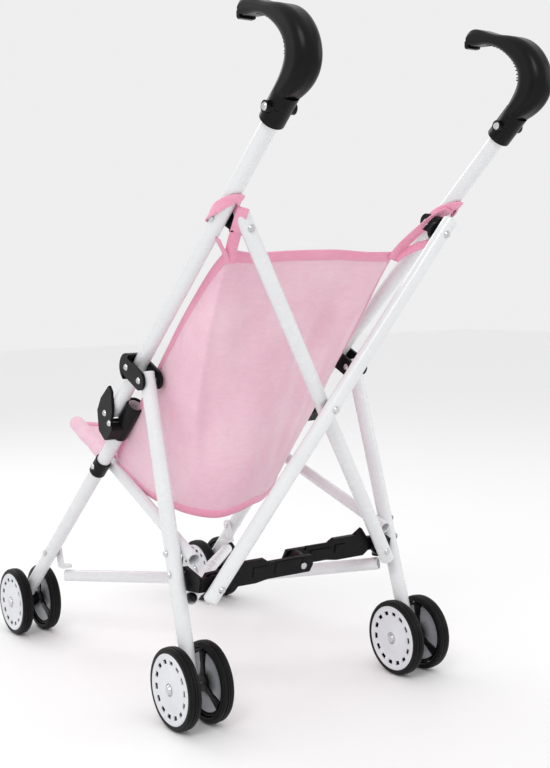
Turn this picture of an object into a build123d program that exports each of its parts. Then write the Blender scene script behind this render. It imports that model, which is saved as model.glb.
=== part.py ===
"""Doll's umbrella stroller with a folding cross frame, twin wheels and a sling seat.

Millimetres, +Z up, the stroller faces -Y and its own left side is +X.
"""
import math
import os

from build123d import *

os.makedirs("parts", exist_ok=True)

# ---- driving dimensions -------------------------------------------------
TUBE_R = 6.75            # side tubes and legs, 13.5 mm outside diameter
WALL = 0.9
CROSS_R = 6.5            # tubes of the rear cross
SEAT_R = 5.5             # seat side bars
LOW_R = 5.9              # lower diagonal bars
WHEEL_R = 35.0
TYRE_W = 11.5
TWIN = 15.6              # half the distance between the two wheels of a pair
AXLE_R = 2.0
RIVET_R = 1.5
FIT = 0.08               # running clearance on a radius

FRONT_AXLE = Vector(114.5, -251.0, WHEEL_R)
REAR_AXLE = Vector(119.6, 99.5, WHEEL_R)

UP_LOW = Vector(110.0, -49.9, 250.4)         # lower end of the handle tube
UP_TOP = Vector(114.6, 244.3, 503.7)
KNEE = Vector(110.0, -47.4, 252.6)           # knee pivot on the handle tube's axis
LO_TOP = Vector(102.0, -21.7, 260.0)
LO_BOT = Vector(115.8, -251.5, 43.0)
LINK_RIVET = Vector(111.0, 5.0, 297.7)
LINK_PIN = Vector(114.5, 27.5, 287.0)        # top pivot of the rear leg
LEG_TOP = Vector(114.4, 25.6, 293.6)
LEG_BOT = Vector(119.8, 101.0, 29.5)
SEAT_PIN = Vector(104.2, 69.1, 142.0)        # seat bar on the rear leg
SEAT_FRONT = Vector(87.3, -172.0, 227.9)
SEAT_REAR = Vector(105.2, 83.5, 136.9)
TOP_RIVET = Vector(114.0, 148.0, 421.0)      # top bracket on the handle tube
LEG_RIVET = Vector(118.1, 74.7, 124.9)       # lower bracket on the rear leg

GRIP_SCREW = Vector(114.6, 234.5, 494.5)
CLIP_RIVET = Vector(106.0, -87.5, 197.8)
KNEE_RIVET = Vector(104.0, -38.7, 243.9)
KNEE_BEVEL_TURN = -79.3                      # its normal points down past the front tube
KNEE_BEVEL = Vector(4.6 * math.cos(math.radians(KNEE_BEVEL_TURN)), 4.6 * math.sin(math.radians(KNEE_BEVEL_TURN)))
DROP_RIVET = Vector(112.0, -195.7, 95.7)

CROSS_MID = Vector(0.0, 133.7, 264.6)        # crossing of the rear X
CROSS_SLOPE = 0.236                          # rearward lean of the X per mm of height
CROSS_DX = 95.5                              # half the distance between the X rivets
CROSS_UP = 151.0                             # along the lean, middle to each rivet
CROSS_END = 13.0                             # tube beyond each end rivet
LAYER = 7.6                                  # each X tube stands off the middle plane

BAR_REAR = Vector(103.6, 75.0, 101.5)        # ends of the lower diagonal bars
BAR_FRONT = Vector(99.0, -190.0, 70.0)
BAR_SAG = 9.4
BAR_GAP = 2.0            # between the two bars where they cross

# Stations of the hooked grip: y, z, heading dy, dz, thickness and width.
GRIP = (
    (236.0, 496.0, 0.757, 0.653, 17.0, 19.0),
    (252.0, 508.5, 0.74, 0.67, 20.5, 21.0),
    (265.0, 527.0, 0.12, 0.99, 28.0, 22.5),
    (257.5, 547.0, -0.62, 0.79, 21.5, 22.0),
    (239.0, 560.5, -0.89, 0.46, 13.5, 20.5),
    (217.0, 568.5, -0.97, 0.24, 10.0, 18.5),
    (194.0, 570.6, -1.0, 0.0, 8.0, 16.5),
)

cn = math.hypot(1.0, CROSS_SLOPE)
UPX = Vector(0, CROSS_SLOPE / cn, 1 / cn)    # up along the X plane
NX = Vector(0, 1 / cn, -CROSS_SLOPE / cn)    # out of the X plane, to the rear

CENTRE_Y = 3.0           # moves the origin under the middle of the whole object


def side(p, s):
    """A point of the left side, or its mirror image on the right."""
    return Vector(s * p.X, p.Y, p.Z)


def along(p, q, lead=0.0):
    """A plane at p, its normal towards q, moved on by lead."""
    d = (q - p).normalized()
    return Plane(origin=p + d * lead, x_dir=d.cross(Vector(0.1, 0.9, 0.3)), z_dir=d)


def lateral(p, x0):
    """A plane facing +X at x0, its origin level with p."""
    return Plane(origin=(x0, p.Y, p.Z), x_dir=(0, 1, 0), z_dir=(1, 0, 0))


def cross_plane(p, off):
    """A plane parallel to the rear X through p, moved off to the rear, facing the front."""
    return Plane(origin=p + NX * off, x_dir=(1, 0, 0), z_dir=-NX)


def save(part, label):
    solid = part.part.moved(Location((0, CENTRE_Y, 0)))
    solid.label = label
    export_step(solid, "parts/" + label + ".step")


def cross_pin(s, top):
    """End rivet of the X tube on side s, at the top or the bottom."""
    return CROSS_MID + Vector(s * CROSS_DX, 0, 0) + UPX * (CROSS_UP if top else -CROSS_UP)


def rivet_solid(plane, length, r=RIVET_R, head=3.0):
    """A rivet centred on the plane: a shank with a low round head at each end."""
    with BuildSketch(plane.offset(-length / 2)) as shank:
        Circle(r)
    extrude(shank.sketch, amount=length)
    for end in (-1, 1):
        with BuildSketch(plane.offset(end * length / 2)) as cap:
            Circle(head)
        extrude(cap.sketch, amount=end * 1.2, taper=35)


def cut_pin_hole(plane, r, length=40.0):
    with BuildSketch(plane.offset(-length / 2)) as bore:
        Circle(r)
    extrude(bore.sketch, amount=length, mode=Mode.SUBTRACT)


# ---- side frames ---------------------------------------------------------
for tag, s in (("left", 1), ("right", -1)):
    upper_low, upper_top = side(UP_LOW, s), side(UP_TOP, s)
    lo_top, lo_bot = side(LO_TOP, s), side(LO_BOT, s)
    knee = side(KNEE, s)
    leg_top, leg_bot = side(LEG_TOP, s), side(LEG_BOT, s)

    with BuildPart() as upper_tube:
        with BuildSketch(along(upper_low, upper_top)):
            Circle(TUBE_R)
            Circle(TUBE_R - WALL, mode=Mode.SUBTRACT)
        extrude(amount=(upper_top - upper_low).length)
        # Bevel on the lower end, which swings past the front tube as the knee turns.
        with BuildSketch(lateral(knee, s * 110.0)):
            with Locations(Location((KNEE_BEVEL.X, KNEE_BEVEL.Y), KNEE_BEVEL_TURN)):
                Rectangle(12.0, 30.0, align=(Align.MIN, Align.CENTER))
        extrude(amount=10.0, both=True, mode=Mode.SUBTRACT)
        cut_pin_hole(lateral(knee, s * 110.0), RIVET_R + FIT)
        cut_pin_hole(lateral(LINK_RIVET, s * 110.0), RIVET_R)
        cut_pin_hole(lateral(TOP_RIVET, s * 112.0), RIVET_R)
        cut_pin_hole(lateral(GRIP_SCREW, s * 114.6), RIVET_R)
    save(upper_tube, "upper_tube_" + tag)

    # Hooked grip: a crescent that swells at the bend and thins to a lipped tip.
    with BuildPart() as handle:
        for y, z, dy, dz, thick, wide in GRIP:
            with BuildSketch(Plane(origin=(s * 114.6, y, z), x_dir=(1, 0, 0), z_dir=(0, dy, dz))):
                RectangleRounded(wide, thick, thick * 0.36)
        loft()
        with BuildSketch(Plane(origin=(s * 114.6, 192.0, 567.4), x_dir=(1, 0, 0), z_dir=(0, 1, 0))):
            RectangleRounded(15.0, 7.0, 2.0)
        extrude(amount=3.6)
        with BuildSketch(along(upper_top, upper_low, -1.0)):
            Circle(10.2)
        extrude(amount=27.0)
        with BuildSketch(lateral(GRIP_SCREW, s * 114.6 - 13.0)):
            Circle(4.6)
        extrude(amount=26.0)
        with BuildSketch(along(upper_top, upper_low)):
            Circle(TUBE_R)
        extrude(amount=40.0, mode=Mode.SUBTRACT)
        cut_pin_hole(lateral(GRIP_SCREW, s * 114.6), RIVET_R)
    save(handle, "handle_" + tag)

    with BuildPart() as lower_tube:
        with BuildSketch(along(lo_bot, lo_top)):
            Circle(TUBE_R)
            Circle(TUBE_R - WALL, mode=Mode.SUBTRACT)
        extrude(amount=(lo_top - lo_bot).length)
        cut_pin_hole(lateral(CLIP_RIVET, s * 106.0), RIVET_R)
        cut_pin_hole(lateral(KNEE_RIVET, s * 104.0), RIVET_R)
        cut_pin_hole(lateral(DROP_RIVET, s * 112.0), RIVET_R)
    save(lower_tube, "lower_tube_" + tag)

    # Knee: a socket round the top of the front tube and a cheek that takes the handle tube.
    with BuildPart() as knee_joint:
        down = (lo_bot - lo_top).normalized()
        with BuildSketch(along(lo_top, lo_bot, -2.0)):
            Circle(TUBE_R + 1.7)
        extrude(amount=44.0)
        low = lo_top + down * 24.0
        with BuildSketch(Plane(origin=(s * 111.3, low.Y, low.Z), x_dir=(0, down.Y, down.Z), z_dir=(1, 0, 0))):
            with Locations((8.0, 0)):
                RectangleRounded(20.0, 15.0, 4.0)
        extrude(amount=8.9, both=True)
        with BuildSketch(lateral(knee, s * 118.85)):
            with BuildLine():
                Polyline(
                    (-15.0, 2.0), (-7.0, 14.0), (9.5, 26.0), (14.0, 21.0), (15.0, 2.0), (7.0, -20.0),
                    (-2.0, -25.0), (-13.0, -17.0), (-15.0, 2.0),
                )
            make_face()
        extrude(amount=1.35, both=True)
        with BuildSketch(along(upper_top, upper_low)):
            Circle(TUBE_R + 0.35)
        extrude(amount=(upper_top - upper_low).length + 2.5, mode=Mode.SUBTRACT)
        with BuildSketch(lateral(knee, s * 108.3)):
            Circle(8.3)
        extrude(amount=9.2, both=True, mode=Mode.SUBTRACT)
        with BuildSketch(along(lo_top, lo_bot, -5.0)):
            Circle(TUBE_R)
        extrude(amount=60.0, mode=Mode.SUBTRACT)
        cut_pin_hole(lateral(knee, s * 118.0), RIVET_R, 8.0)
        cut_pin_hole(lateral(KNEE_RIVET, s * 110.0), RIVET_R)
    save(knee_joint, "knee_joint_" + tag)

    # Clevis that hangs the rear leg behind the handle tube.
    with BuildPart() as leg_link:
        for x0 in (s * 122.8, s * 105.4):
            with BuildSketch(lateral(LINK_RIVET, x0)):
                with Locations((0, 0), (22.5, -10.7)):
                    Circle(8.5)
                with BuildLine():
                    Polyline((3.6, 7.7), (26.1, -3.0), (18.9, -18.4), (-3.6, -7.7), (3.6, 7.7))
                make_face()
            extrude(amount=1.3, both=True)
        with BuildSketch(lateral(LINK_RIVET, s * 114.1)):
            Circle(12.6)
            Circle(7.6, mode=Mode.SUBTRACT)
            with BuildLine():
                Polyline((2.0, -40.0), (-9.0, -2.0), (9.0, 14.0), (40.0, 2.0), (2.0, -40.0))
            make_face(mode=Mode.SUBTRACT)
        extrude(amount=10.0, both=True)
        with BuildSketch(along(upper_low, upper_top)):
            Circle(TUBE_R + 0.02)
        extrude(amount=(upper_top - upper_low).length, mode=Mode.SUBTRACT)
        cut_pin_hole(lateral(LINK_RIVET, s * 114.0), RIVET_R)
        cut_pin_hole(lateral(LINK_PIN, s * 114.0), RIVET_R)
    save(leg_link, "leg_link_" + tag)

    with BuildPart() as rear_leg:
        with BuildSketch(along(leg_bot, leg_top)):
            Circle(TUBE_R)
            Circle(TUBE_R - WALL, mode=Mode.SUBTRACT)
        extrude(amount=(leg_top - leg_bot).length)
        cut_pin_hole(lateral(LINK_PIN, s * 114.0), RIVET_R + 1.4)
        cut_pin_hole(lateral(SEAT_PIN, s * 118.0), RIVET_R)
        cut_pin_hole(lateral(LEG_RIVET, s * 118.0), RIVET_R + FIT)
        cut_pin_hole(lateral(REAR_AXLE, s * 119.6), AXLE_R)
    save(rear_leg, "rear_leg_" + tag)

    with BuildPart() as seat_bar:
        with BuildSketch(along(side(SEAT_FRONT, s), side(SEAT_REAR, s))):
            Circle(SEAT_R)
            Circle(SEAT_R - WALL, mode=Mode.SUBTRACT)
        extrude(amount=(SEAT_REAR - SEAT_FRONT).length)
        cut_pin_hole(lateral(SEAT_PIN, s * 104.2), RIVET_R + FIT, 16.0)
    save(seat_bar, "seat_bar_" + tag)

    # Saddle on the front tube that carries the seat bar.
    with BuildPart() as seat_clip:
        with BuildSketch(along(side(CLIP_RIVET, s), lo_bot, -9.0)):
            Circle(TUBE_R + 1.3)
        extrude(amount=18.0)
        with BuildSketch(along(lo_bot, lo_top)):
            Circle(TUBE_R)
        extrude(amount=(lo_top - lo_bot).length, mode=Mode.SUBTRACT)
        with BuildSketch(lateral(CLIP_RIVET, s * 94.2)):
            Circle(14.0)
        extrude(amount=5.6, both=True, mode=Mode.SUBTRACT)
        cut_pin_hole(lateral(CLIP_RIVET, s * 106.0), RIVET_R)
    save(seat_clip, "seat_clip_" + tag)

    # Wheel stub at the foot of the front tube.
    with BuildPart() as front_stub:
        with BuildSketch(along(lo_bot, lo_top, -5.5)):
            Circle(TUBE_R)
        extrude(amount=5.3)
        with BuildSketch(lateral(FRONT_AXLE, s * 114.5)):
            Circle(7.4)
        extrude(amount=7.6, both=True)
        with BuildSketch(along(lo_bot, lo_top)):
            Circle(TUBE_R + 0.02)
        extrude(amount=40.0, mode=Mode.SUBTRACT)
        cut_pin_hole(lateral(FRONT_AXLE, s * 114.5), AXLE_R)
    save(front_stub, "front_stub_" + tag)

    # ---- rear X and its brackets -------------------------------------------
    top, bottom = cross_pin(s, True), cross_pin(-s, False)
    layer = -LAYER if s > 0 else LAYER
    with BuildPart() as x_tube:
        axis0, axis1 = top + NX * layer, bottom + NX * layer
        with BuildSketch(along(axis0, axis1, -CROSS_END)):
            Circle(CROSS_R)
            Circle(CROSS_R - WALL, mode=Mode.SUBTRACT)
        extrude(amount=(axis1 - axis0).length + 2 * CROSS_END)
        cut_pin_hole(cross_plane(CROSS_MID, layer), RIVET_R + FIT)
        cut_pin_hole(cross_plane(top, layer), RIVET_R)
        cut_pin_hole(cross_plane(bottom, layer), RIVET_R)
    save(x_tube, "x_tube_" + tag)

    # Wedge from the handle tube back to the top rivet of this side's X tube.
    with BuildPart() as top_bracket:
        face = layer - CROSS_R - 0.4
        with BuildSketch(cross_plane(top, face)):
            with Locations((0, 0)):
                Circle(8.0)
            with Locations((s * 5.0, 3.0)):
                Rectangle(10.0, 17.0)
        extrude(amount=3.4)
        rear = top + NX * (face - 3.4)
        with BuildSketch(lateral(TOP_RIVET, s * 103.4)):
            Circle(7.5)
            with BuildLine():
                Polyline(
                    (-3.0, 7.0), (rear.Y - 148.0 + 3.6, rear.Z - 421.0 + 11.5),
                    (rear.Y - 148.0 + 3.0, rear.Z - 421.0 - 5.5), (-3.0, -7.0), (-3.0, 7.0),
                )
            make_face()
        extrude(amount=1.8, both=True)
        cut_pin_hole(cross_plane(top, face), RIVET_R + FIT)
        cut_pin_hole(lateral(TOP_RIVET, s * 104.0), RIVET_R + FIT)
    save(top_bracket, "top_bracket_" + tag)

    # Lower bracket: cheek on the rear leg, face plate in front of the other X tube,
    # and a lug over the end of the lower bar.
    own = cross_pin(s, False)
    own_layer = LAYER if s > 0 else -LAYER
    with BuildPart() as low_bracket:
        face = own_layer - CROSS_R - 0.4
        with BuildSketch(cross_plane(own, face)):
            Circle(7.5)
            with Locations((s * 6.0, 0.0)):
                Rectangle(14.0, 13.0)
        extrude(amount=3.4)
        front = own + NX * (face - 3.4)
        with BuildSketch(lateral(LEG_RIVET, s * 108.2)):
            Circle(5.0)
            with BuildLine():
                Polyline(
                    (0.0, 5.0), (front.Y - 74.7 + 4.2, front.Z - 124.9 + 5.0),
                    (front.Y - 74.7 + 1.4, front.Z - 124.9 - 7.0), (3.0, -15.3), (-5.0, -15.3), (-5.0, 0.0),
                    (0.0, 5.0),
                )
            make_face()
        extrude(amount=1.8, both=True)
        with BuildSketch(Plane.XY.offset(109.6)):
            with Locations((s * BAR_REAR.X, BAR_REAR.Y)):
                Circle(6.4)
            with Locations((s * (BAR_REAR.X + 3.2), BAR_REAR.Y)):
                Rectangle(6.4, 12.8)
        extrude(amount=2.6)
        cut_pin_hole(cross_plane(own, face), RIVET_R + FIT)
        cut_pin_hole(lateral(LEG_RIVET, s * 109.0), RIVET_R + FIT, 12.0)
        cut_pin_hole(Plane.XY.offset(109.6).move(Location((s * BAR_REAR.X, BAR_REAR.Y, 0))), RIVET_R + 0.02, 10.0)
    save(low_bracket, "low_bracket_" + tag)

    # Brace half: from the lower X rivet to the middle.
    with BuildPart() as brace:
        face = own_layer - CROSS_R - 4.2
        reach = CROSS_DX
        with BuildSketch(cross_plane(own, face)):
            with BuildLine():
                Polyline(
                    (s * 8.0, -4.5), (-s * 9.0, -4.5), (-s * 14.0, -9.0), (-s * 46.0, -9.0), (-s * 58.0, -7.0),
                    (-s * (reach + 8.0), -7.0), (-s * (reach + 11.0), 0.0), (-s * (reach + 8.0), 9.0),
                    (-s * 58.0, 9.0), (-s * 52.0, 13.0), (-s * 28.0, 13.0), (-s * 20.0, 19.0), (-s * 12.0, 9.0),
                    (s * 6.0, 8.0), (s * 8.0, 4.0), (s * 8.0, -4.5),
                )
            make_face()
        extrude(amount=3.6)
        if s < 0:
            with BuildSketch(cross_plane(own, face)):
                with Locations((reach, 0)):
                    Circle(9.0)
            extrude(amount=4.0 - 2 * LAYER)
        cut_pin_hole(cross_plane(own, face), RIVET_R + FIT)
    save(brace, "brace_" + tag)

    # Lower diagonal bar, cranked at the crossing; the two pass one above the other.
    with BuildPart() as lower_bar:
        rear_end, front_end = side(BAR_REAR, s), side(BAR_FRONT, -s)
        rise = -BAR_SAG if s < 0 else 2 * LOW_R + BAR_GAP - BAR_SAG
        middle = (rear_end + front_end) * 0.5 + Vector(0, 0, rise)
        with BuildLine():
            FilletPolyline(rear_end, middle, front_end, radius=120.0)
        heading = Vector(middle.X - rear_end.X, middle.Y - rear_end.Y, middle.Z - rear_end.Z)
        with BuildSketch(Plane(origin=rear_end, z_dir=heading)):
            Circle(LOW_R)
            Circle(LOW_R - WALL, mode=Mode.SUBTRACT)
        sweep()
        with BuildSketch(Plane(origin=rear_end - Vector(0, 0, 12), z_dir=(0, 0, 1))):
            with Locations((-s * 5.0 * 0.62, -5.0 * 0.78)):
                Circle(RIVET_R)
        extrude(amount=24.0, mode=Mode.SUBTRACT)
    save(lower_bar, "lower_bar_" + tag)

    # Drop link below the front tube, over the front end of a lower bar.
    with BuildPart() as drop_link:
        with BuildSketch(lateral(DROP_RIVET, s * 104.0)):
            Circle(6.5)
            with BuildLine():
                Polyline((-6.2, 2.0), (6.4, 1.0), (12.0, -17.0), (-0.6, -17.0), (-6.2, 2.0))
            make_face()
        extrude(amount=1.1, both=True)
        with BuildSketch(Plane.XY.offset(78.7)):
            with Locations((s * BAR_FRONT.X, BAR_FRONT.Y)):
                Circle(6.3)
            with Locations((s * (BAR_FRONT.X + 3.0), BAR_FRONT.Y)):
                Rectangle(6.0, 12.6)
        extrude(amount=2.4)
        cut_pin_hole(lateral(DROP_RIVET, s * 104.0), RIVET_R + FIT, 10.0)
    save(drop_link, "drop_link_" + tag)

    # ---- rivets and pins, one node for each body they stand in -------------
    with BuildPart() as tube_rivets:
        rivet_solid(lateral(LINK_RIVET, s * 114.1), 20.2)
        for x0 in (s * 124.1, s * 104.1):
            with BuildSketch(lateral(LINK_PIN, x0)):
                Circle(3.0)
            extrude(amount=math.copysign(1.2, x0 * (abs(x0) - 114)), taper=35)
        with BuildSketch(lateral(LINK_PIN, s * 104.1)):
            Circle(RIVET_R)
        extrude(amount=s * 20.0)
        rivet_solid(lateral(TOP_RIVET, s * 111.1), 19.4)
        rivet_solid(lateral(GRIP_SCREW, s * 114.6), 26.0, RIVET_R, 3.2)
    save(tube_rivets, "tube_rivets_" + tag)

    with BuildPart() as knee_rivets:
        rivet_solid(lateral(knee, s * 111.5), 17.4)
        rivet_solid(lateral(KNEE_RIVET, s * 107.35), 25.9)
        with BuildSketch(lateral(CLIP_RIVET, s * 100.2)):
            Circle(RIVET_R)
        extrude(amount=s * 14.6)
        with BuildSketch(lateral(CLIP_RIVET, s * 114.5)):
            Circle(3.0)
        extrude(amount=s * 1.2, taper=35)
        rivet_solid(lateral(DROP_RIVET, s * 111.3), 17.2)
    save(knee_rivets, "knee_rivets_" + tag)

    with BuildPart() as leg_rivets:
        rivet_solid(lateral(SEAT_PIN, s * 111.6), 26.4)
        rivet_solid(lateral(LEG_RIVET, s * 115.6), 18.8)
    save(leg_rivets, "leg_rivets_" + tag)

    with BuildPart() as x_rivets:
        face = layer + CROSS_R
        for p, back in ((top, 0.0), (bottom, 3.8)):
            depth = 2 * CROSS_R + 4.2 + back
            with BuildSketch(cross_plane(p, face)):
                Circle(RIVET_R)
            extrude(amount=depth)
            for end in (-1, 1):
                with BuildSketch(cross_plane(p, face if end < 0 else face - depth)):
                    Circle(3.2)
                extrude(amount=end * 1.3, taper=35)
    save(x_rivets, "x_rivets_" + tag)

    # ---- wheels ---------------------------------------------------------------
    for place, axle in (("front", side(FRONT_AXLE, s)), ("rear", side(REAR_AXLE, s))):
        with BuildPart() as axle_pin:
            reach = TWIN + TYRE_W / 2 + 0.6
            with BuildSketch(lateral(axle, axle.X - reach)):
                Circle(AXLE_R)
            extrude(amount=2 * reach)
            for end in (-1, 1):
                with BuildSketch(lateral(axle, axle.X + end * reach)):
                    Circle(4.2)
                extrude(amount=end * 1.6, taper=30)
        save(axle_pin, "axle_" + place + "_" + tag)

        for where, out in (("outer", s), ("inner", -s)):
            x0 = axle.X + out * TWIN
            hub_plane = Plane(origin=(x0, axle.Y, axle.Z), x_dir=(0, 1, 0), z_dir=(out, 0, 0))
            with BuildPart() as hub:
                with BuildSketch(hub_plane.offset(-5.0)):
                    Circle(30.0)
                    Circle(27.6, mode=Mode.SUBTRACT)
                extrude(amount=10.0)
                with BuildSketch(hub_plane.offset(2.2)):
                    Circle(28.0)
                    with PolarLocations(24.6, 14):
                        SlotOverall(6.4, 4.2, rotation=90)
                extrude(amount=1.8)
                with BuildSketch(hub_plane.offset(2.2)):
                    with PolarLocations(24.6, 14):
                        Rectangle(4.2, 7.2)
                extrude(amount=2.2, mode=Mode.SUBTRACT)
                with BuildSketch(hub_plane.offset(-5.2)):
                    Circle(5.6)
                extrude(amount=10.6)
                with BuildSketch(hub_plane.offset(-4.2)):
                    with PolarLocations(16.5, 3, start_angle=90):
                        Rectangle(25.0, 4.4)
                extrude(amount=6.6)
                cut_pin_hole(hub_plane, AXLE_R + FIT)
            save(hub, "hub_" + place + "_" + where + "_" + tag)

            with BuildPart() as tyre:
                with BuildSketch(hub_plane.offset(-TYRE_W / 2)):
                    Circle(WHEEL_R)
                    Circle(30.0, mode=Mode.SUBTRACT)
                extrude(amount=TYRE_W)
                chamfer(tyre.edges().filter_by(GeomType.CIRCLE).sort_by(lambda e: e.radius)[-2:], 1.3)
            save(tyre, "tyre_" + place + "_" + where + "_" + tag)

# ---- middle of the X ---------------------------------------------------------
with BuildPart() as x_centre:
    with BuildSketch(cross_plane(CROSS_MID, LAYER - CROSS_R - 0.1)):
        Circle(5.0)
    extrude(amount=2 * (LAYER - CROSS_R) - 0.2)
    half = LAYER + CROSS_R
    with BuildSketch(cross_plane(CROSS_MID, half + 0.1)):
        Circle(RIVET_R)
    extrude(amount=2 * half + 0.2)
    for end in (-1, 1):
        with BuildSketch(cross_plane(CROSS_MID, -end * (half + 0.1))):
            Circle(3.4)
        extrude(amount=end * 1.3, taper=35)
save(x_centre, "x_centre_rivet")

# ---- fabric sling: back, two wings and a seat, open to the front and the top ----
CLOTH = 2.6
SLING_FRONT, SLING_BACK = 79.5, 90.0     # half widths at the front edge and at the back panel


def plan(inset):
    """Plan outline of the sling, wider at the back."""
    with BuildSketch(Plane.XY) as outline:
        with BuildLine():
            Polyline(
                (-SLING_FRONT + inset, -200.0), (SLING_FRONT - inset, -200.0), (SLING_BACK - inset, 60.0),
                (SLING_BACK - inset, 140.0), (-SLING_BACK + inset, 140.0), (-SLING_BACK + inset, 60.0),
                (-SLING_FRONT + inset, -200.0),
            )
        make_face()
    return outline.sketch


with BuildPart() as hollow:
    with BuildSketch(Plane(origin=(-100.0, 0, 0), x_dir=(0, 1, 0), z_dir=(1, 0, 0))):
        with BuildLine():
            Polyline(
                (118.2, 397.5), (59.9, 167.2), (20.0, 154.8), (-60.0, 178.8), (-190.0, 228.7),
                (-190.0, 260.0), (0.0, 420.0), (118.2, 420.0), (118.2, 397.5),
            )
        make_face()
    extrude(amount=200.0)
    extrude(plan(CLOTH), amount=450.0, mode=Mode.INTERSECT)

with BuildPart() as sling:
    with BuildSketch(Plane(origin=(-100.0, 0, 0), x_dir=(0, 1, 0), z_dir=(1, 0, 0))):
        with BuildLine():
            Polyline(
                (121.0, 396.0), (62.0, 165.0), (20.0, 152.0), (-60.0, 176.0), (-172.0, 219.0),
                (-173.0, 226.0), (-100.0, 206.0), (-72.0, 213.0), (20.0, 292.0), (104.0, 372.0), (118.0, 398.0),
                (121.0, 396.0),
            )
        make_face()
    extrude(amount=200.0)
    extrude(plan(0.0), amount=450.0, mode=Mode.INTERSECT)
    add(hollow.part, mode=Mode.SUBTRACT)
save(sling, "seat_sling")
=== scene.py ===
"""Doll's umbrella stroller: sling, straps, wheels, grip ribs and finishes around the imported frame.

Metres, +Z up, facing -Y.
"""
import math

import bpy
import bmesh
from mathutils import Matrix, Vector, noise


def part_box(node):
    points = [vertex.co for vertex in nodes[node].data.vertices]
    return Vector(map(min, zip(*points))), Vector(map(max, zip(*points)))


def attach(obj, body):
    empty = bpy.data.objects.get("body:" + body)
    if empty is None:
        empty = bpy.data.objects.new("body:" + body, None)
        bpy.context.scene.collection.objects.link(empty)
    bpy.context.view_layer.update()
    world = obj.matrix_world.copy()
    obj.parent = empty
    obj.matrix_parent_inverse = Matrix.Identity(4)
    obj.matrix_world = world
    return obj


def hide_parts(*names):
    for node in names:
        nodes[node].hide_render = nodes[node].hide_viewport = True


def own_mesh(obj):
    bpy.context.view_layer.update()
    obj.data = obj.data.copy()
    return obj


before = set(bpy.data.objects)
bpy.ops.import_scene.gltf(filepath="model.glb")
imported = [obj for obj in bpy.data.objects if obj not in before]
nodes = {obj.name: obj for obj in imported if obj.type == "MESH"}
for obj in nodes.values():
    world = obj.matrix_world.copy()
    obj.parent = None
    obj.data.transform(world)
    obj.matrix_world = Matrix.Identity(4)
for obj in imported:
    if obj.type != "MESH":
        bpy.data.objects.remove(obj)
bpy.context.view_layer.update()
MM = 0.001
SIDES = (("left", 1), ("right", -1))
CLOTH_THICK = 0.8 * MM
TAPE_THICK = 1.5 * MM
X_WAY = Vector((1, 0, 0))
ORIGIN = Vector((0, 0, 0))


def mm(x, y, z):
    return Vector((x, y, z)) * MM


# ---- materials ----------------------------------------------------------------
def new_material(name):
    mat = bpy.data.materials.new(name)
    mat.use_nodes = True
    tree = mat.node_tree
    return mat, tree, tree.nodes["Principled BSDF"]


def node(tree, kind, **values):
    made = tree.nodes.new(kind)
    for key, value in values.items():
        if key in made.inputs:
            made.inputs[key].default_value = value
        else:
            setattr(made, key, value)
    return made


def noise_at(tree, scale, detail=4.0, rough=0.55, stretch=(1, 1, 1)):
    """Object-space noise, stretched along an axis if asked."""
    place = node(tree, "ShaderNodeTexCoord")
    mapping = node(tree, "ShaderNodeMapping")
    mapping.inputs["Scale"].default_value = stretch
    made = node(tree, "ShaderNodeTexNoise", Scale=scale, Detail=detail, Roughness=rough)
    tree.links.new(place.outputs["Object"], mapping.inputs["Vector"])
    tree.links.new(mapping.outputs["Vector"], made.inputs["Vector"])
    return made


def ramp(tree, source, stops):
    made = node(tree, "ShaderNodeValToRGB")
    elements = made.color_ramp.elements
    while len(elements) < len(stops):
        elements.new(0.5)
    for element, (place, color) in zip(elements, stops):
        element.position = place
        element.color = (*color, 1.0)
    tree.links.new(source, made.inputs["Fac"])
    return made


def bump(tree, source, strength, distance, after=None):
    made = node(tree, "ShaderNodeBump", Strength=strength, Distance=distance)
    tree.links.new(source, made.inputs["Height"])
    if after is not None:
        tree.links.new(after.outputs["Normal"], made.inputs["Normal"])
    return made


def spread(tree, source, low, high):
    """Maps a 0..1 value to low..high."""
    made = node(tree, "ShaderNodeMapRange")
    made.inputs["To Min"].default_value = low
    made.inputs["To Max"].default_value = high
    tree.links.new(source, made.inputs["Value"])
    return made.outputs["Result"]


def solid_material(name, dark, light, rough, grain, grain_depth, coat=0.0, metallic=0.0, specular=0.5):
    """A finish with cloudy colour, uneven gloss and a fine surface grain."""
    mat, tree, shader = new_material(name)
    clouds = noise_at(tree, 26.0)
    colour = ramp(tree, clouds.outputs["Fac"], ((0.3, dark), (0.7, light)))
    tree.links.new(colour.outputs["Color"], shader.inputs["Base Color"])
    smears = noise_at(tree, 90.0, 6.0)
    tree.links.new(spread(tree, smears.outputs["Fac"], rough[0], rough[1]), shader.inputs["Roughness"])
    fine = noise_at(tree, grain, 3.0)
    pitted = bump(tree, fine.outputs["Fac"], 0.25, grain_depth)
    tree.links.new(pitted.outputs["Normal"], shader.inputs["Normal"])
    shader.inputs["Metallic"].default_value = metallic
    shader.inputs["Specular IOR Level"].default_value = specular
    shader.inputs["Coat Weight"].default_value = coat
    shader.inputs["Coat Roughness"].default_value = 0.12
    return mat


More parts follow.
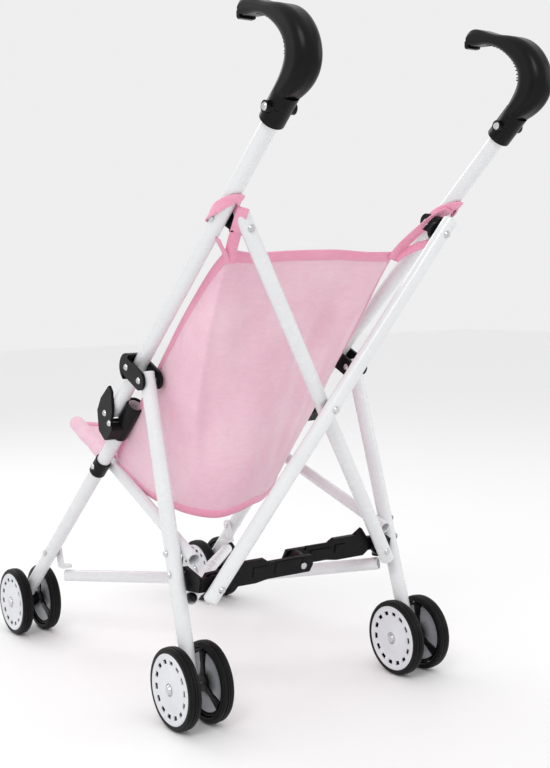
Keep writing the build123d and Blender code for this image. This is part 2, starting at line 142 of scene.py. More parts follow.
def cloth_material(name, dark, light, weave):
    """Thin woven nylon: crossed threads, slubs, shallow creases and a soft sheen."""
    mat, tree, shader = new_material(name)
    place = node(tree, "ShaderNodeTexCoord")
    across, down = (node(tree, "ShaderNodeTexWave", Scale=weave, Distortion=0.6, Detail=1.0,
                         bands_direction=way) for way in "XZ")
    for wave in (across, down):
        tree.links.new(place.outputs["Object"], wave.inputs["Vector"])
    threads = node(tree, "ShaderNodeMath", operation="MULTIPLY")
    tree.links.new(across.outputs["Fac"], threads.inputs[0])
    tree.links.new(down.outputs["Fac"], threads.inputs[1])
    clouds = noise_at(tree, 14.0, 5.0, 0.6)
    colour = ramp(tree, clouds.outputs["Fac"], ((0.32, dark), (0.68, light)))
    slubs = noise_at(tree, 420.0, 2.0, 0.5, (0.25, 1, 1))
    mix = node(tree, "ShaderNodeMix", data_type="RGBA", blend_type="MULTIPLY")
    mix.inputs["Factor"].default_value = 0.30
    shade = ramp(tree, slubs.outputs["Fac"], ((0.25, (0.80, 0.76, 0.78)), (0.75, (1.0, 1.0, 1.0))))
    tree.links.new(colour.outputs["Color"], mix.inputs[6])
    tree.links.new(shade.outputs["Color"], mix.inputs[7])
    tree.links.new(mix.outputs[2], shader.inputs["Base Color"])
    tree.links.new(spread(tree, threads.outputs["Value"], 0.62, 0.50), shader.inputs["Roughness"])
    first = bump(tree, threads.outputs["Value"], 0.35, 0.0003)
    crease = noise_at(tree, 38.0, 5.0, 0.5)
    second = bump(tree, crease.outputs["Fac"], 0.18, 0.0012, first)
    tree.links.new(second.outputs["Normal"], shader.inputs["Normal"])
    shader.inputs["Sheen Weight"].default_value = 0.25
    shader.inputs["Sheen Roughness"].default_value = 0.4
    shader.inputs["Specular IOR Level"].default_value = 0.35
    shader.inputs["Subsurface Weight"].default_value = 0.12
    shader.inputs["Subsurface Scale"].default_value = 0.004
    return mat


PAINT = solid_material("white_paint", (0.73, 0.74, 0.755), (0.76, 0.77, 0.78), (0.24, 0.30), 60.0,
                       0.00001, 0.3)
BLACK = solid_material("black_plastic", (0.003, 0.003, 0.0034), (0.006, 0.006, 0.007), (0.22, 0.36), 700.0,
                       0.00010, 0.0, 0.0, 0.14)
STEEL = solid_material("steel", (0.52, 0.52, 0.53), (0.68, 0.68, 0.69), (0.22, 0.40), 900.0,
                       0.00006, 0.0, 1.0)
RUBBER = solid_material("tyre_rubber", (0.004, 0.004, 0.004), (0.009, 0.009, 0.009), (0.34, 0.52), 900.0,
                        0.00012, 0.0, 0.0, 0.14)
DISC = solid_material("wheel_disc", (0.66, 0.67, 0.70), (0.76, 0.77, 0.80), (0.28, 0.40), 600.0, 0.00006, 0.2)
HUB_CAP = solid_material("hub_cap", (0.42, 0.43, 0.46), (0.52, 0.53, 0.56), (0.30, 0.42), 600.0, 0.00006, 0.2)
CLOTH = cloth_material("pink_nylon", (0.80, 0.49, 0.60), (0.89, 0.62, 0.71), 620.0)
BINDING = cloth_material("pink_binding", (0.84, 0.33, 0.48), (0.90, 0.42, 0.56), 900.0)

BY_PREFIX = (
    (("handle", "knee_joint", "leg_link", "seat_clip", "front_stub", "top_bracket", "low_bracket", "brace"),
     BLACK),
    (("tube_rivets", "knee_rivets", "leg_rivets", "x_rivets", "x_centre", "axle"), STEEL),
    (("tyre",), RUBBER),
    (("hub",), DISC),
    (("seat_sling",), CLOTH),
    (("",), PAINT),
)
for name, item in nodes.items():
    finish = next(mat for starts, mat in BY_PREFIX if name.startswith(starts))
    item.data.materials.clear()
    item.data.materials.append(finish)


# ---- mesh helpers ---------------------------------------------------------------
def link(name, mesh, mat, body):
    item = bpy.data.objects.new(name, mesh)
    bpy.context.scene.collection.objects.link(item)
    mesh.materials.append(mat)
    for face in mesh.polygons:
        face.use_smooth = True
    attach(item, body)
    return item


def grid_mesh(name, rows):
    """A sheet from rows of points, every row as long as the first."""
    wide = len(rows[0])
    faces = [(r * wide + c, r * wide + c + 1, (r + 1) * wide + c + 1, (r + 1) * wide + c)
             for r in range(len(rows) - 1) for c in range(wide - 1)]
    mesh = bpy.data.meshes.new(name)
    mesh.from_pydata([p for row in rows for p in row], [], faces)
    return mesh


def thicken(item, thickness, offset=0.0):
    """Gives a sheet its thickness."""
    mod = item.modifiers.new("thickness", "SOLIDIFY")
    mod.thickness = thickness
    mod.offset = offset
    apply_modifiers(item)


def apply_modifiers(item):
    bpy.context.view_layer.update()
    evaluated = item.evaluated_get(bpy.context.evaluated_depsgraph_get())
    made = bpy.data.meshes.new_from_object(evaluated)
    item.modifiers.clear()
    item.data = made
    for face in made.polygons:
        face.use_smooth = True


def smooth_path(points, count):
    """Catmull-Rom points through the given ones, evenly counted."""
    pts = [2 * points[0] - points[1], *points, 2 * points[-1] - points[-2]]
    spans = len(points) - 1
    made = []
    for i in range(count + 1):
        t = i / count * spans
        k = min(int(t), spans - 1)
        u = t - k
        a, b, c, d = pts[k:k + 4]
        made.append(0.5 * ((2 * b) + (c - a) * u + (2 * a - 5 * b + 4 * c - d) * u * u
                           + (3 * b - a - 3 * c + d) * u ** 3))
    return made


def tube_mesh(name, path, across, normals, closed=False):
    """Sweeps an outline of (sideways, outwards) pairs along a path. normals hold the outwards ways."""
    count, ring = len(path), len(across)
    verts, faces = [], []
    for i, p in enumerate(path):
        ahead = path[(i + 1) % count] if closed or i < count - 1 else p
        behind = path[i - 1] if closed or i > 0 else p
        heading = (ahead - behind).normalized()
        out = normals[i] - heading * normals[i].dot(heading)
        out.normalize()
        sideways = heading.cross(out)
        verts += [p + sideways * a + out * b for a, b in across]
    for i in range(count if closed else count - 1):
        j = (i + 1) % count
        faces += [(i * ring + k, i * ring + (k + 1) % ring, j * ring + (k + 1) % ring, j * ring + k)
                  for k in range(ring)]
    if not closed:
        faces += [tuple(range(ring))[::-1], tuple((count - 1) * ring + k for k in range(ring))]
    mesh = bpy.data.meshes.new(name)
    mesh.from_pydata(verts, [], faces)
    return mesh


def flat_outline(width, thick):
    """Rounded flat section of a strap or a binding."""
    w, t = width / 2, thick / 2
    return [(-w, -t * 0.5), (-w + t * 0.6, -t), (w - t * 0.6, -t), (w, -t * 0.5),
            (w, t * 0.5), (w - t * 0.6, t), (-w + t * 0.6, t), (-w, t * 0.5)]


# ---- the frame's lines that the cloth follows ---------------------------------------
def middle_line(name):
    """Two ends of a straight tube, from the mean of the vertices near each end."""
    lo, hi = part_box(name)
    co = [v.co for v in nodes[name].data.vertices]
    ends = []
    for limit in (lo.y, hi.y):
        near = [c for c in co if abs(c.y - limit) < 0.02]
        ends.append(sum(near, Vector()) / len(near))
    return ends


SEAT_BAR_R = 5.5 * MM
END_TILT = 0.3 * SEAT_BAR_R            # the bars slope, so their ends stand a little inside the box
BAR = {}
for tag, s in SIDES:
    lo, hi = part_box("seat_bar_" + tag)
    near, far = sorted((abs(lo.x), abs(hi.x)))
    BAR[tag] = (Vector((s * (near + SEAT_BAR_R), lo.y + END_TILT, hi.z - SEAT_BAR_R)),
                Vector((s * (far - SEAT_BAR_R), hi.y - END_TILT, lo.z + SEAT_BAR_R)))


def bar_at(tag, y):
    """Point on a seat bar's middle line at the given y."""
    front, rear = BAR[tag]
    return front + (rear - front) * ((y - front.y) / (rear.y - front.y))


def ease(t):
    """Smooth step from 0 to 1."""
    t = min(max(t, 0.0), 1.0)
    return t * t * (3 - 2 * t)


# ---- back panel and wings ---------------------------------------------------------------
# The wall runs from the left clip round the back to the right clip. Its lower edge is a slack
# pouch between the seat bars, and its upper edge is two free edges and the straight back hem.
ROWS, COLUMNS = 46, 150
LOWER_EDGE = [mm(91, -84, 199), mm(91, -52, 187), mm(91, -16, 176), mm(89, 20, 171), mm(85, 50, 168),
              mm(68, 63, 165), mm(46, 62, 167), mm(22, 52, 170), mm(0, 30, 167), mm(-22, 6, 165),
              mm(-46, -18, 167), mm(-68, -42, 174), mm(-84, -62, 184), mm(-90, -84, 199)]
UPPER_LEFT = [mm(91, -84, 199), mm(95, -62, 221), mm(97, -24, 254), mm(98.5, 22, 296), mm(99.5, 70, 341),
              mm(98, 112, 378), mm(95, 136, 396)]
UPPER_RIGHT = [mm(-93, 116, 395), mm(-97, 96, 378), mm(-99, 62, 341), mm(-98.5, 22, 296), mm(-97, -24, 254),
               mm(-95, -62, 221), mm(-90, -84, 199)]
HEM_LINE = [mm(95, 136, 396), mm(62, 124, 394), mm(20, 116, 396), mm(-30, 113, 397), mm(-66, 113, 395),
            mm(-93, 116, 395)]
LEFT_SHARE, RIGHT_SHARE = 0.27, 0.75       # where the back hem starts and ends along the wall


def on_path(path, t):
    """Point at share t of an evenly counted path."""
    k = min(max(t, 0.0), 1.0) * (len(path) - 1)
    i = min(int(k), len(path) - 2)
    return path[i].lerp(path[i + 1], k - i)


LOWER = smooth_path(LOWER_EDGE, 260)
LEFT_FREE, RIGHT_FREE, HEM = (smooth_path(line, 120) for line in (UPPER_LEFT, UPPER_RIGHT, HEM_LINE))


def upper_at(a):
    """Point of the wall's upper edge: left free edge, back hem, right free edge."""
    if a < LEFT_SHARE:
        return on_path(LEFT_FREE, a / LEFT_SHARE)
    if a < RIGHT_SHARE:
        return on_path(HEM, (a - LEFT_SHARE) / (RIGHT_SHARE - LEFT_SHARE))
    return on_path(RIGHT_FREE, (a - RIGHT_SHARE) / (1 - RIGHT_SHARE))


def wall_point(a, v):
    """a from the left clip round to the right clip, v from the upper edge down to the lower edge."""
    top, low = upper_at(a), on_path(LOWER, a)
    p = top.lerp(low, v)
    span = (top - low).length
    rear = ease((a - 0.18) / 0.16) * ease((0.86 - a) / 0.16)
    hollow = math.sin(math.pi * v) * rear
    p.y -= 0.016 * hollow * (1 - v * 0.5)
    across = (a - 0.5) / 0.24
    fade = math.sin(math.pi * v) ** 0.8 * min(span / 0.15, 1.0)
    folds = (0.0022 * math.sin(7.5 * across + 2.4 * v + 0.6) + 0.0012 * math.sin(15.0 * across - 5.0 * v)
             + 0.0032 * noise.noise(Vector((2.6 * across, 1.6 * v, 0.3))))
    pull = 0.0042 * math.exp(-((across + 0.62 - 0.9 * v) / 0.11) ** 2) * (1 - v)
    pull += 0.0038 * math.exp(-((across - 0.70 + 0.8 * v) / 0.12) ** 2) * (1 - v)
    p.y += (fade * folds - pull * ease(v * 5)) * rear
    side = 1 if a < 0.5 else -1
    p.x += side * (1 - rear) * fade * (0.004 + 0.002 * noise.noise(Vector((9 * a, 3 * v, 1.7))))
    return p


wall_rows = [[wall_point(c / COLUMNS, r / ROWS) for c in range(COLUMNS + 1)] for r in range(ROWS + 1)]


def welded_sheet(name, rows):
    """A sheet from rows of points, with points that coincide welded."""
    mesh = grid_mesh(name, rows)
    built = bmesh.new()
    built.from_mesh(mesh)
    bmesh.ops.remove_doubles(built, verts=built.verts, dist=0.0002)
    built.to_mesh(mesh)
    built.free()
    return mesh


sling = link("sling_wall", welded_sheet("sling_wall", wall_rows), CLOTH, "middle")


def binding(name, line, inner, body, width=8.5 * MM, thick=2.2 * MM):
    """A folded tape over a cloth edge. inner holds points on the cloth next to the edge."""
    seat, outwards = [], []
    last = len(line) - 1
    for i, (p, q) in enumerate(zip(line, inner)):
        way = (q - p).normalized()
        ahead = line[min(i + 1, last)] - line[max(i - 1, 0)]
        outwards.append(ahead.cross(way).normalized())
        seat.append(p + way * width * 0.42)
    return link(name, tube_mesh(name, seat, flat_outline(width, thick), outwards), BINDING, body)


first, last = round(COLUMNS * LEFT_SHARE), round(COLUMNS * RIGHT_SHARE)
hem = binding("hem_back", wall_rows[0][first:last + 1], wall_rows[2][first:last + 1], "middle",
              9.5 * MM, 2.4 * MM)
wing_hems = [
    binding("hem_wing_left", wall_rows[0][4:first + 1], wall_rows[2][4:first + 1], "middle", 7.5 * MM),
    binding("hem_wing_right", wall_rows[0][last:-4], wall_rows[2][last:-4], "middle", 7.5 * MM),
    binding("hem_lower", wall_rows[-1][4:-4], wall_rows[-3][4:-4], "middle", 7.0 * MM),
]

# ---- seat: two halves, each carried by its own seat bar ---------------------------------
SEAT_COLUMNS, SEAT_ROWS = 22, 44
FRONT_Y, CLIP_Y = -175 * MM, -86 * MM
CLIP_SHARE = 0.35                    # share of the seat's length in front of the clip
PINCH = 8 / 13                       # where the lower edge crosses the middle
SLEEVE_R, SLEEVE_SIDES = 6.9 * MM, 20
CUFF_SCALE = 1.22                    # a cuff's radius over its sleeve's
seat_parts = []


def seat_edge(tag, t):
    """The seat's outer edge: over the bar in front of the clip, then inside the wall's lower edge."""
    s = 1 if tag == "left" else -1
    if t < CLIP_SHARE:
        return bar_at(tag, FRONT_Y + (CLIP_Y - FRONT_Y) * t / CLIP_SHARE) + Vector((-s * 0.0064, 0, 0))
    share = (t - CLIP_SHARE) / (1 - CLIP_SHARE)
    p = on_path(LOWER, share * PINCH if s > 0 else 1 - share * (1 - PINCH))
    return Vector((p.x - s * 0.0016 * min(1.0, (1 - share) * 6), p.y - 0.0016 * share, p.z + 0.0035))


MID_LINE = smooth_path([mm(0, -176, 221), mm(0, -150, 205), mm(0, -110, 187), mm(0, -70, 174),
                        mm(0, -30, 166), mm(0, 5, 164), mm(0, 28.4, 170.5)], 60)

for tag, s in SIDES:
    rows = []
    for r in range(SEAT_ROWS + 1):
        t = r / SEAT_ROWS
        edge, mid = seat_edge(tag, t), on_path(MID_LINE, t)
        row = []
        for c in range(SEAT_COLUMNS + 1):
            u = c / SEAT_COLUMNS
            sag = math.cos(math.pi * u / 2)
            p = mid.lerp(edge, u)
            p.z = edge.z + (mid.z - edge.z) * sag ** 1.3
            ripple = noise.noise(Vector((2.5 * u, 5 * t, 2.0)))
            p.z += 0.0016 * math.sin(math.pi * u) * ripple * math.sin(math.pi * t)
            row.append(p)
        rows.append(row)
    half = link("seat_half_" + tag, welded_sheet("seat_half_" + tag, rows), CLOTH, "seatbar_" + tag)
    front_hem = binding("hem_seat_front_" + tag, rows[0], rows[2], "seatbar_" + tag, 8.0 * MM)
    sleeve_path = [bar_at(tag, y * MM) for y in range(-176, -92, 3)]
    turns = [k * math.tau / SLEEVE_SIDES for k in range(SLEEVE_SIDES)]
    ring = [(math.cos(a) * SLEEVE_R, math.sin(a) * SLEEVE_R) for a in turns]
    ups = [Vector((0, 0.3, 1))] * len(sleeve_path)
    sleeve_mesh = tube_mesh("sleeve_" + tag, sleeve_path, ring, ups)
    for i, v in enumerate(sleeve_mesh.vertices):
        out = v.co - sleeve_path[i // SLEEVE_SIDES]
        v.co += out * (0.10 + 0.10 * noise.noise(v.co * 90))
    link("sleeve_" + tag, sleeve_mesh, CLOTH, "seatbar_" + tag)
    cuff_path = [bar_at(tag, y * MM) for y in (-98, -95, -92, -90)]
    cuff_ring = [(x * CUFF_SCALE, y * CUFF_SCALE) for x, y in ring]
    cuff_mesh = tube_mesh("sleeve_cuff_" + tag, cuff_path, cuff_ring, ups[:len(cuff_path)])
    link("sleeve_cuff_" + tag, cuff_mesh, BINDING, "seatbar_" + tag)
    seat_parts.append((tag, half, front_hem))

# ---- straps and loops --------------------------------------------------------------------
straps = []
LOOP_STEPS = 48
LOOP_SLANT = 0.94            # the loop's reach along the tube, as a share of the given stretch


def loop_round_tube(tag, y_low, y_high, radius=8.3 * MM):
    """A closed strap round the handle tube, crossing it at a slant: low in front, high behind."""
    a, b = middle_line("upper_tube_" + tag)
    way = (b - a).normalized()
    centre = a + way * ((((y_low + y_high) / 2) - a.y) / way.y)
    under = Vector((0, way.z, -way.y))
    reach = (y_high - y_low) / 2 * LOOP_SLANT
    path, outs = [], []
    for k in range(LOOP_STEPS):
        turn = math.tau * k / LOOP_STEPS
        out = X_WAY * math.cos(turn) + under * math.sin(turn)
        path.append(centre + out * radius + way * (reach * math.sin(turn)))
        outs.append(out)
    return path, outs


for tag, s in SIDES:
    path, outs = loop_round_tube(tag, 139 * MM, 180 * MM)
    name = "strap_loop_" + tag
    link(name, tube_mesh(name, path, flat_outline(8.5 * MM, TAPE_THICK), outs, True), BINDING, "upper_" + tag)

# Each strap: its points, the way its face looks, and its width.
STRAPS = {
    "left": (((mm(106.5, 176, 427), mm(104.5, 166, 417), mm(100, 152, 406), mm(96, 140, 394),
               mm(94, 136, 386)),
              Vector((0.55, 0.85, -0.3)), 9.5),
             ((mm(112, 146, 405), mm(107, 142, 400), mm(101, 138, 395), mm(96, 134, 388)),
              Vector((0.9, 0.3, 0.2)), 7.0)),
    "right": (((mm(-106.5, 176, 430), mm(-104, 162, 425), mm(-100, 142, 413), mm(-95, 124, 399),
                mm(-92, 116, 389)),
               Vector((0.35, 0.75, -0.75)), 9.5),
              ((mm(-112, 146, 405), mm(-107, 138, 401), mm(-100, 127, 396), mm(-95, 118, 389)),
               Vector((-0.9, 0.3, 0.2)), 7.0)),
}
for tag, s in SIDES:
    for n, (points, face, width) in enumerate(STRAPS[tag]):
        path = smooth_path(list(points), 24)
        name = "strap_%s_%d" % (tag, n + 1)
        strap = tube_mesh(name, path, flat_outline(width * MM, TAPE_THICK), [face] * len(path))
        straps.append(link(name, strap, BINDING, "middle"))

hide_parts("seat_sling")
thicken(sling, CLOTH_THICK)
for tag, half, front_hem in seat_parts:
    thicken(half, CLOTH_THICK)
for piece in (sling, hem, *wing_hems, *straps):
    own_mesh(piece)
for tag, half, front_hem in seat_parts:
    for piece in (half, front_hem):
        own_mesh(piece)

# ---- wheels: stepped tyres, slotted discs and black spiders ------------------------------------
def lathe(name, profile, centre, out, count=96):
    """Turns (radius, along) pairs about the axle; out is +1 or -1, the way the disc faces."""
    closed = profile[0] == profile[-1]
    ring = profile[:-1] if closed else profile
    verts, faces = [], []
    for k in range(count):
        a = math.tau * k / count
        verts += [centre + Vector((out * x, r * math.cos(a), r * math.sin(a))) for r, x in ring]
    n = len(ring)
    for k in range(count):
        m = (k + 1) % count
        for i in range(n if closed else n - 1):
            j = (i + 1) % n
            faces.append((k * n + i, k * n + j, m * n + j, m * n + i))
    mesh = bpy.data.meshes.new(name)
    mesh.from_pydata(verts, [], faces)
    built = bmesh.new()
    built.from_mesh(mesh)
    bmesh.ops.recalc_face_normals(built, faces=built.faces)
    built.to_mesh(mesh)
    built.free()
    return mesh


TYRE_PROFILE = [(30.2, -5.6), (31.4, -5.75), (33.2, -5.6), (33.7, -5.2), (33.9, -4.2), (34.5, -4.0),
                (34.7, -3.4), (34.7, -1.6), (34.3, -1.4), (34.3, -1.0), (35.0, -0.8), (35.0, 0.8),
                (34.3, 1.0), (34.3, 1.4), (34.7, 1.6), (34.7, 3.4), (34.5, 4.0), (33.9, 4.2),
                (33.7, 5.2), (33.2, 5.6), (31.4, 5.75), (30.2, 5.6), (29.6, 5.0), (29.4, 0.0),
                (29.6, -5.0), (30.2, -5.6)]
BACKING_PROFILE = [(2.2, 1.2), (28.4, 1.2), (28.4, -3.6), (26.8, -3.8), (26.2, -1.0), (2.2, 0.2), (2.2, 1.2)]
CAP_PROFILE = [(0.02, 6.3), (3.0, 6.2), (4.6, 5.9), (5.4, 5.2), (5.6, 3.6)]
DISH_PROFILE = [(3.0, -0.8), (16.0, -0.4), (24.6, -1.6), (25.6, -2.6)]
SLOTS, STEPS, OPEN_STEPS = 14, 8, 4          # slots in a disc, and steps for each slot and its open part
SLOT_BAND = 4                                # the stretch of the disc's profile that the slots go through


def scaled(profile):
    return [(r * MM, x * MM) for r, x in profile]


def slotted_disc(name, centre, out):
    """White outer disc with a ring of rectangular slots, slightly dished, with a rounded rim."""
    radii = [(5.4, 4.9), (7.2, 4.5), (12.0, 3.9), (18.0, 3.7), (21.6, 3.9), (25.4, 4.3), (27.4, 4.9),
             (28.6, 5.2), (29.4, 4.6)]
    count = SLOTS * STEPS
    verts = [centre + Vector((out * x * MM, r * MM * math.cos(math.tau * k / count),
                              r * MM * math.sin(math.tau * k / count)))
             for r, x in radii for k in range(count)]
    faces = []
    for i in range(len(radii) - 1):
        for k in range(count):
            if i == SLOT_BAND and k % STEPS < OPEN_STEPS:
                continue
            m = (k + 1) % count
            faces.append((i * count + k, i * count + m, (i + 1) * count + m, (i + 1) * count + k))
    mesh = bpy.data.meshes.new(name)
    mesh.from_pydata(verts, [], faces)
    return mesh


def spider(name, centre, out):
    """Black three-spoke spider on the side that faces the leg."""
    built = bmesh.new()

    def plate(points, low, high):
        rings = [[built.verts.new(centre + Vector((out * x * MM, a * MM, b * MM))) for a, b in points]
                 for x in (low, high)]
        n = len(points)
        built.faces.new(rings[0])
        built.faces.new(rings[1])
        for k in range(n):
            built.faces.new((rings[0][k], rings[0][(k + 1) % n], rings[1][(k + 1) % n], rings[1][k]))

    for spoke in range(3):
        turn = math.tau * spoke / 3 + math.pi / 2
        ahead, across = (math.cos(turn), math.sin(turn)), (-math.sin(turn), math.cos(turn))
        outline = [(4.0, -3.4), (16.0, -2.6), (27.6, -4.4), (27.6, 4.4), (16.0, 2.6), (4.0, 3.4)]
        turned = [(ahead[0] * a + across[0] * b, ahead[1] * a + across[1] * b) for a, b in outline]
        plate(turned, -5.3, -3.6)
    hub = [(7.4 * math.cos(math.tau * k / 32), 7.4 * math.sin(math.tau * k / 32)) for k in range(32)]
    plate(hub, -5.6, -3.0)
    bmesh.ops.recalc_face_normals(built, faces=built.faces)
    mesh = bpy.data.meshes.new(name)
    built.to_mesh(mesh)
    built.free()
    return mesh


def flat_shaded(item, angle=35.0):
    """Smooth over gentle bends, sharp at real corners."""
    item.data.set_sharp_from_angle(angle=math.radians(angle))


for tag, s in SIDES:
    for place in ("front", "rear"):
        for where, out in (("outer", s), ("inner", -s)):
            key = "%s_%s_%s" % (place, where, tag)
            lo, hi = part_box("tyre_" + key)
            centre, body = (lo + hi) / 2, "wheel_" + key

            def turned_piece(kind, profile, mat, count=96):
                name = kind + "_" + key
                return link(name, lathe(name, scaled(profile), centre, out, count), mat, body)

            tyre = turned_piece("tyre_tread", TYRE_PROFILE, RUBBER)
            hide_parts("tyre_" + key)
            flat_shaded(tyre)
            disc_mesh = slotted_disc("wheel_disc_" + key, centre, out)
            disc = link("wheel_disc_" + key, disc_mesh, DISC, body)
            thicken(disc, 1.1 * MM, -1.0)
            flat_shaded(disc)
            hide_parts("hub_" + key)
            flat_shaded(turned_piece("wheel_backing", BACKING_PROFILE, BLACK))
            thicken(turned_piece("wheel_dish", DISH_PROFILE, HUB_CAP), 0.6 * MM)
            turned_piece("wheel_cap", CAP_PROFILE, HUB_CAP, 40)
            legs = link("wheel_spider_" + key, spider("wheel_spider_" + key, centre, out), BLACK, body)
            flat_shaded(legs, 30.0)


# ---- small details on the frame -----------------------------------------------------------------
def rounded_box(name, size, place, turn, mat, body, edge=0.4 * MM):
    """A small moulded block with rounded edges."""
    built = bmesh.new()
    bmesh.ops.create_cube(built, size=1.0)
    bmesh.ops.scale(built, vec=Vector(size), verts=built.verts)
    bmesh.ops.bevel(built, geom=built.edges[:] + built.verts[:], offset=edge, segments=2, affect="EDGES")
    bmesh.ops.transform(built, matrix=Matrix.Translation(place) @ turn.to_4x4(), verts=built.verts)
    mesh = bpy.data.meshes.new(name)
    built.to_mesh(mesh)
    built.free()
    item = link(name, mesh, mat, body)
    flat_shaded(item)
    return item


UP_CROSS = Vector((0, 0.2297, 0.9733))         # up along the plane of the rear cross
BACK_CROSS = Vector((0, 0.9733, -0.2297))      # out of that plane, to the rear
cross_turn = Matrix((X_WAY, BACK_CROSS, UP_CROSS)).transposed()
CROSS_CENTRE = mm(0, 136.7, 264.6)
CROSS_LAYER = 7.6 * MM                         # each cross tube stands off the middle plane
CROSS_HALF, CROSS_UP = 95.5 * MM, 151 * MM     # from the crossing to an end rivet
CROSS_END = 13.0 * MM                          # tube beyond an end rivet


def capsule_end(name, place, heading, body):
    """Rounded white end of a cross tube. A small black cap on its tip is painted shade that stands for the
    hole.
    """
    profile = [(0.05, 3.0), (1.5, 2.95), (3.4, 2.5), (5.0, 1.6), (6.1, 0.4), (6.5, -0.6), (6.45, -2.0)]
    turn = heading.to_track_quat("X", "Z").to_matrix().to_4x4()
    mesh = lathe(name, scaled(profile), ORIGIN, 1, 40)
    mesh.transform(Matrix.Translation(place) @ turn)
    link(name, mesh, PAINT, body)
    # painted shade: a small black cap on the tube's tip stands in for the shaded inside of its hole
    hole_shade_profile = [(0.05, 3.25), (1.1, 3.2), (1.5, 2.85), (1.5, 1.0)]
    hole_shade_cap = lathe(name + "_painted_shade", scaled(hole_shade_profile), ORIGIN, 1, 16)
    hole_shade_cap.transform(Matrix.Translation(place) @ turn)
    link(name + "_painted_shade", hole_shade_cap, BLACK, body)


for tag, s in SIDES:
    layer = BACK_CROSS * -s * CROSS_LAYER
    reach = X_WAY * s * CROSS_HALF + UP_CROSS * CROSS_UP
    top, low = CROSS_CENTRE + reach + layer, CROSS_CENTRE - reach + layer
    way = (top - low).normalized()
    capsule_end("cross_end_top_" + tag, top + way * CROSS_END, way, "cross_" + tag)
    capsule_end("cross_end_low_" + tag, low - way * CROSS_END, -way, "cross_" + tag)

# The brace: raised plates, lock tongue and centre rivet.
level = CROSS_CENTRE - UP_CROSS * CROSS_UP


def on_brace(x, up, back):
    """Point by the brace, in mm from the middle of the line through the lower cross rivets."""
    return level + Vector((x * MM, 0, 0)) + UP_CROSS * up * MM + BACK_CROSS * back * MM


# For each half: how far back its plates stand, and each plate's x, height, width and tallness.
BRACE_PLATES = {"left": (-2.9, ((16, 2.5, 30, 12), (46, 2.0, 16, 9), (-2, 6.0, 10, 6))),
                "right": (-17.9, ((-30, 1.0, 24, 9), (-52, 3.0, 12, 8)))}
for tag, (back, plates) in BRACE_PLATES.items():
    for n, (x, up, wide, tall) in enumerate(plates):
        plate = (wide * MM, 1.0 * MM, tall * MM)
        rounded_box("brace_plate_%s_%d" % (tag, n + 1), plate, on_brace(x, up, back), cross_turn, BLACK,
                    "brace_" + tag)
rounded_box("brace_tongue", (26 * MM, 2.4 * MM, 4.0 * MM), on_brace(-24, 9.0, -17.6), cross_turn, BLACK,
            "brace_right")
RIVET_PROFILE = [(0.05, 2.0), (1.6, 1.85), (2.8, 1.2), (3.2, 0.2), (3.2, -0.6)]
head = lathe("brace_rivet", scaled(RIVET_PROFILE), ORIGIN, 1, 32)
rivet_turn = BACK_CROSS.to_track_quat("X", "Z").to_matrix().to_4x4()
head.transform(Matrix.Translation(on_brace(0, 0, -2.6)) @ rivet_turn)
link("brace_rivet", head, STEEL, "brace_left")

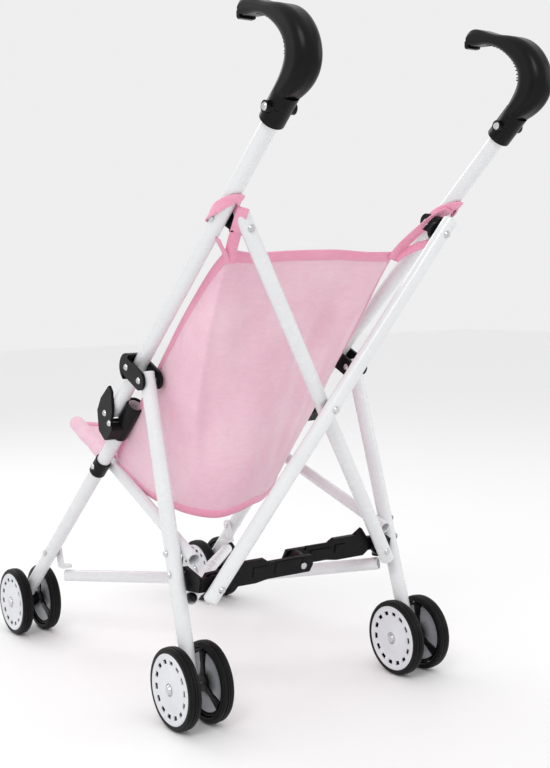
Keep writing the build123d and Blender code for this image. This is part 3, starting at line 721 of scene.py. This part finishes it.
# Grips: ribs across the inner side.
GRIP_PATH = [(239.0, 496.0), (255.0, 508.5), (268.0, 527.0), (260.5, 547.0), (242.0, 560.5), (220.0, 568.5),
             (197.0, 570.6)]
GRIP_HALF = [8.5, 10.25, 14.0, 10.75, 6.75, 5.0, 4.0]
GRIP_WIDE = [19.0, 21.0, 22.5, 22.0, 20.5, 18.5, 16.5]
GRIP_X, GRIP_STEPS = 114.6, 60
RIB_STEPS = range(20, 56, 2)
for tag, s in SIDES:
    spine = smooth_path([mm(s * GRIP_X, y, z) for y, z in GRIP_PATH], GRIP_STEPS)
    halves = smooth_path([Vector((h, w, 0)) for h, w in zip(GRIP_HALF, GRIP_WIDE)], GRIP_STEPS)
    for n, k in enumerate(RIB_STEPS):
        heading = (spine[k + 1] - spine[k - 1]).normalized()
        inward = Vector((0, -heading.z, heading.y))
        if inward.y > 0 or (abs(inward.y) < 0.3 and inward.z > 0):
            inward = -inward
        turn = Matrix((X_WAY, heading, inward)).transposed()
        if turn.determinant() < 0:
            turn = Matrix((-X_WAY, heading, inward)).transposed()
        place = spine[k] + inward * (halves[k].x * MM - 0.1 * MM)
        rib = (halves[k].y * 0.62 * MM, 0.9 * MM, 1.0 * MM)
        rounded_box("grip_rib_%s_%02d" % (tag, n + 1), rib, place, turn, BLACK, "upper_" + tag,
                    0.25 * MM)

# ---- floor, light and camera -------------------------------------------------------------
floor_mesh = bpy.data.meshes.new("floor")
floor_mesh.from_pydata([(-6, -6, 0), (6, -6, 0), (6, 6, 0), (-6, 6, 0)], [], [(0, 1, 2, 3)])
floor = bpy.data.objects.new("floor", floor_mesh)
bpy.context.scene.collection.objects.link(floor)
floor_mat, _, floor_shader = new_material("floor")
floor_shader.inputs["Base Color"].default_value = (0.95, 0.95, 0.95, 1)
floor_shader.inputs["Roughness"].default_value = 0.6
floor_mesh.materials.append(floor_mat)

world = bpy.data.worlds.new("studio")
bpy.context.scene.world = world
world.use_nodes = True
world.node_tree.nodes["Background"].inputs["Color"].default_value = (1, 1, 1, 1)
world.node_tree.nodes["Background"].inputs["Strength"].default_value = 0.86


def area_light(name, place, target, size, power):
    data = bpy.data.lights.new(name, "AREA")
    data.shape = "DISK"
    data.size = size
    data.energy = power
    item = bpy.data.objects.new(name, data)
    bpy.context.scene.collection.objects.link(item)
    item.location = place
    item.rotation_euler = (Vector(target) - Vector(place)).to_track_quat("-Z", "Y").to_euler()


AIM = Vector((0, 0, 0.28))
area_light("key", (1.1, 1.0, 1.5), AIM, 0.8, 9)
area_light("fill", (-1.4, 0.9, 0.9), AIM, 1.0, 3)
area_light("rim", (0.2, -1.4, 1.3), AIM, 0.8, 5)

camera_data = bpy.data.cameras.new("camera")
camera_data.lens = 56.25
camera_data.sensor_width = 36.0
camera_data.sensor_fit = "AUTO"
camera = bpy.data.objects.new("camera", camera_data)
bpy.context.scene.collection.objects.link(camera)
camera.location = (0.6147, 0.9536, 0.3671)
CAMERA_AIM, CAMERA_ROLL = Vector((0.0153, 0.0817, 0.2806)), math.radians(-0.99)
towards = CAMERA_AIM - camera.location
camera.rotation_euler = (towards.to_track_quat("-Z", "Y").to_matrix()
                         @ Matrix.Rotation(CAMERA_ROLL, 3, "Z")).to_euler()
bpy.context.scene.camera = camera
bpy.context.scene.view_settings.view_transform = "Standard"
